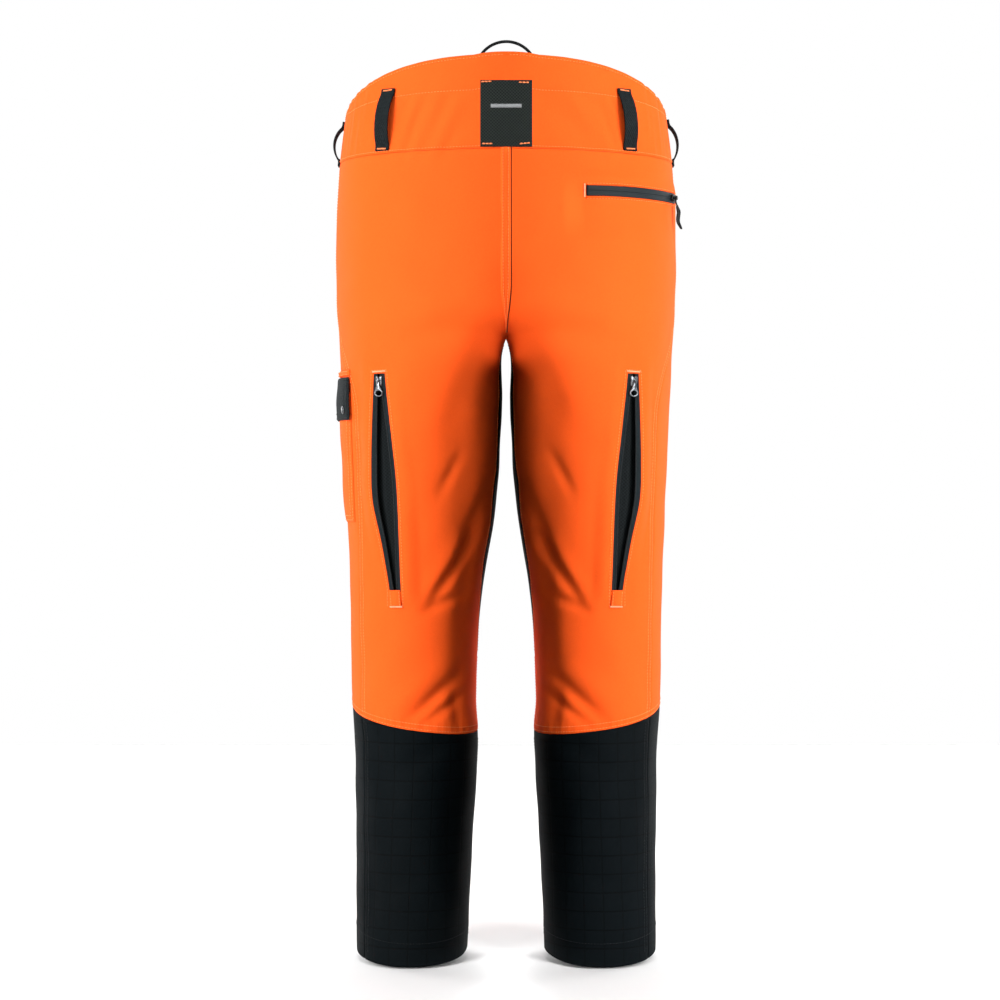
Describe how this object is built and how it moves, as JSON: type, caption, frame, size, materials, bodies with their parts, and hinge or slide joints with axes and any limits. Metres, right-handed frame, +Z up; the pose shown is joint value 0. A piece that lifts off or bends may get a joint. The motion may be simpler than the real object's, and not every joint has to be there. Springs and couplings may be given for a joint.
{
  "type": "chainsaw trousers",
  "caption": "Chainsaw safety trousers with elastic waist, belt loops, hanging loop, zipped thigh vents, zip pockets, thigh flap pocket and dark lower legs.",
  "frame": {"origin": "on the floor under the garment, midway between the two hems and midway between its back and its front", "axes": "+Z up along the legs, +Y the way the wearer faces, +X towards the wearer's right hand"},
  "size_m": [0.4503, 0.2625, 1.1686],
  "materials": {
    "black_trim": "coarse basket weave, black",
    "gusset_fabric": "plain stretch weave, black",
    "hanger_cord": "braided cord, black",
    "lining": "brushed lining, dark grey",
    "lower_leg_fabric": "tightly woven ripstop, black, matt",
    "mesh": "knitted mesh, black",
    "protection_layers": "stacked warp-knit layers, off-white",
    "pull_rubber": "moulded cord pull, dark grey",
    "shell_fabric": "woven stretch shell, high-visibility orange, matt",
    "webbing": "ribbed woven tape, black",
    "zip_metal": "plated zinc alloy, satin",
    "zip_tape": "woven zip tape with a moulded coil, charcoal"
  },
  "bodies": {
    "garment": {"waistband_back": "shell_fabric", "waistband_front_left": "shell_fabric", "waistband_front_right": "shell_fabric", "waistband_facing": "lining", "back_panel_left": "shell_fabric", "back_panel_right": "shell_fabric", "front_panel_left": "shell_fabric", "front_panel_right": "shell_fabric", "lower_back_panel_left": "lower_leg_fabric", "lower_back_panel_right": "lower_leg_fabric", "lower_front_panel_left": "lower_leg_fabric", "lower_front_panel_right": "lower_leg_fabric", "inner_gusset_left": "gusset_fabric", "inner_gusset_right": "gusset_fabric", "hem_facings": "lower_leg_fabric", "protection_pad_left": "protection_layers", "protection_pad_right": "protection_layers", "leg_lining_left": "lining", "leg_lining_right": "lining", "belt_loop_rear_left": "webbing", "belt_loop_rear_right": "webbing", "belt_loop_side_left": "webbing", "belt_loop_side_right": "webbing", "belt_loop_front_left": "webbing", "belt_loop_front_right": "webbing", "label_patch": "black_trim", "hanger_loop": "hanger_cord", "hanger_tab": "hanger_cord", "vent_tapes_left": "zip_tape", "vent_tapes_right": "zip_tape", "vent_mesh_left": "mesh", "vent_mesh_right": "mesh", "vent_plackets": "shell_fabric", "hip_zip_tape": "zip_tape", "hip_pocket_bag": "lining", "front_zip_tape_left": "zip_tape", "front_zip_tape_right": "zip_tape", "front_pocket_bag_left": "lining", "front_pocket_bag_right": "lining", "fly_zip_tape": "zip_tape", "stud_post": "zip_metal", "thigh_pocket": "shell_fabric", "flap_binding": "black_trim"},
    "waist_tab": {"waist_tab": "shell_fabric", "waist_stud": "zip_metal"},
    "vent_slider_left": {"vent_slider_left": "zip_metal"},
    "vent_pull_left": {"vent_pull_left": "zip_metal"},
    "front_zip_slider_left": {"front_zip_slider_left": "zip_metal"},
    "front_zip_pull_left": {"front_zip_pull_left": "zip_metal"},
    "vent_slider_right": {"vent_slider_right": "zip_metal"},
    "vent_pull_right": {"vent_pull_right": "zip_metal"},
    "front_zip_slider_right": {"front_zip_slider_right": "zip_metal"},
    "front_zip_pull_right": {"front_zip_pull_right": "zip_metal"},
    "hip_slider": {"hip_slider": "zip_metal"},
    "hip_pull": {"hip_pull": "pull_rubber"},
    "fly_slider": {"fly_slider": "zip_metal"},
    "fly_pull": {"fly_pull": "zip_metal"},
    "fly_cover": {"fly_cover": "shell_fabric"},
    "thigh_flap": {"thigh_flap": "black_trim"}
  },
  "joints": [
    {"name": "vent_slide_left", "type": "slide", "parent": "garment", "child": "vent_slider_left", "axis": [0.0719, 0.0937, -0.993], "range_m": [0, 0.25]},
    {"name": "vent_pull_swing_left", "type": "hinge", "parent": "vent_slider_left", "child": "vent_pull_left", "pos_m": [-0.16063, -0.10238, 0.7389], "axis": [-0.9059, 0.4227, -0.0257], "range_deg": [0, 150]},
    {"name": "front_zip_travel_left", "type": "hinge", "parent": "garment", "child": "front_zip_slider_left", "pos_m": [0.21706, -0.41187, 0.91508], "axis": [-0.7628, -0.6063, 0.2248], "range_deg": [0, 11.3]},
    {"name": "front_zip_pull_swing_left", "type": "hinge", "parent": "front_zip_slider_left", "child": "front_zip_pull_left", "pos_m": [-0.16514, 0.10151, 1.00289], "axis": [0.7628, 0.6063, -0.2248], "range_deg": [0, 150]},
    {"name": "vent_slide_right", "type": "slide", "parent": "garment", "child": "vent_slider_right", "axis": [-0.0719, 0.0937, -0.993], "range_m": [0, 0.25]},
    {"name": "vent_pull_swing_right", "type": "hinge", "parent": "vent_slider_right", "child": "vent_pull_right", "pos_m": [0.16063, -0.10238, 0.7389], "axis": [-0.9059, -0.4227, 0.0257], "range_deg": [0, 150]},
    {"name": "front_zip_travel_right", "type": "hinge", "parent": "garment", "child": "front_zip_slider_right", "pos_m": [-0.21706, -0.41187, 0.91508], "axis": [-0.7628, 0.6063, -0.2248], "range_deg": [0, 11.3]},
    {"name": "front_zip_pull_swing_right", "type": "hinge", "parent": "front_zip_slider_right", "child": "front_zip_pull_right", "pos_m": [0.16514, 0.10151, 1.00289], "axis": [0.7628, -0.6063, 0.2248], "range_deg": [0, 150]},
    {"name": "hip_zip_travel", "type": "hinge", "parent": "garment", "child": "hip_slider", "pos_m": [0.088, 0.0316, 0.976], "axis": [0, 0, -1], "range_deg": [0, 52]},
    {"name": "hip_pull_swing", "type": "hinge", "parent": "hip_slider", "child": "hip_pull", "pos_m": [0.21648, -0.03526, 0.976], "axis": [0.9063, -0.4226, 0], "range_deg": [-80, 80]},
    {"name": "fly_slide", "type": "slide", "parent": "garment", "child": "fly_slider", "axis": [0, -0.0073, -1], "range_m": [0, 0.106]},
    {"name": "fly_pull_swing", "type": "hinge", "parent": "fly_slider", "child": "fly_pull", "pos_m": [0, 0.12514, 1.01428], "axis": [1, 0, 0], "range_deg": [0, 3]},
    {"name": "fly_cover_opening", "type": "hinge", "parent": "garment", "child": "fly_cover", "pos_m": [-0.027, 0.12643, 0.95], "axis": [0, 0, 1], "range_deg": [0, 120]},
    {"name": "waist_tab_opening", "type": "hinge", "parent": "garment", "child": "waist_tab", "pos_m": [-0.034, 0.12648, 1.052], "axis": [0, 0, 1], "range_deg": [0, 120]},
    {"name": "thigh_flap_lift", "type": "hinge", "parent": "garment", "child": "thigh_flap", "pos_m": [-0.21782, 0.01321, 0.746], "axis": [0.104, 0.9946, 0], "range_deg": [0, 75]}
  ]
}
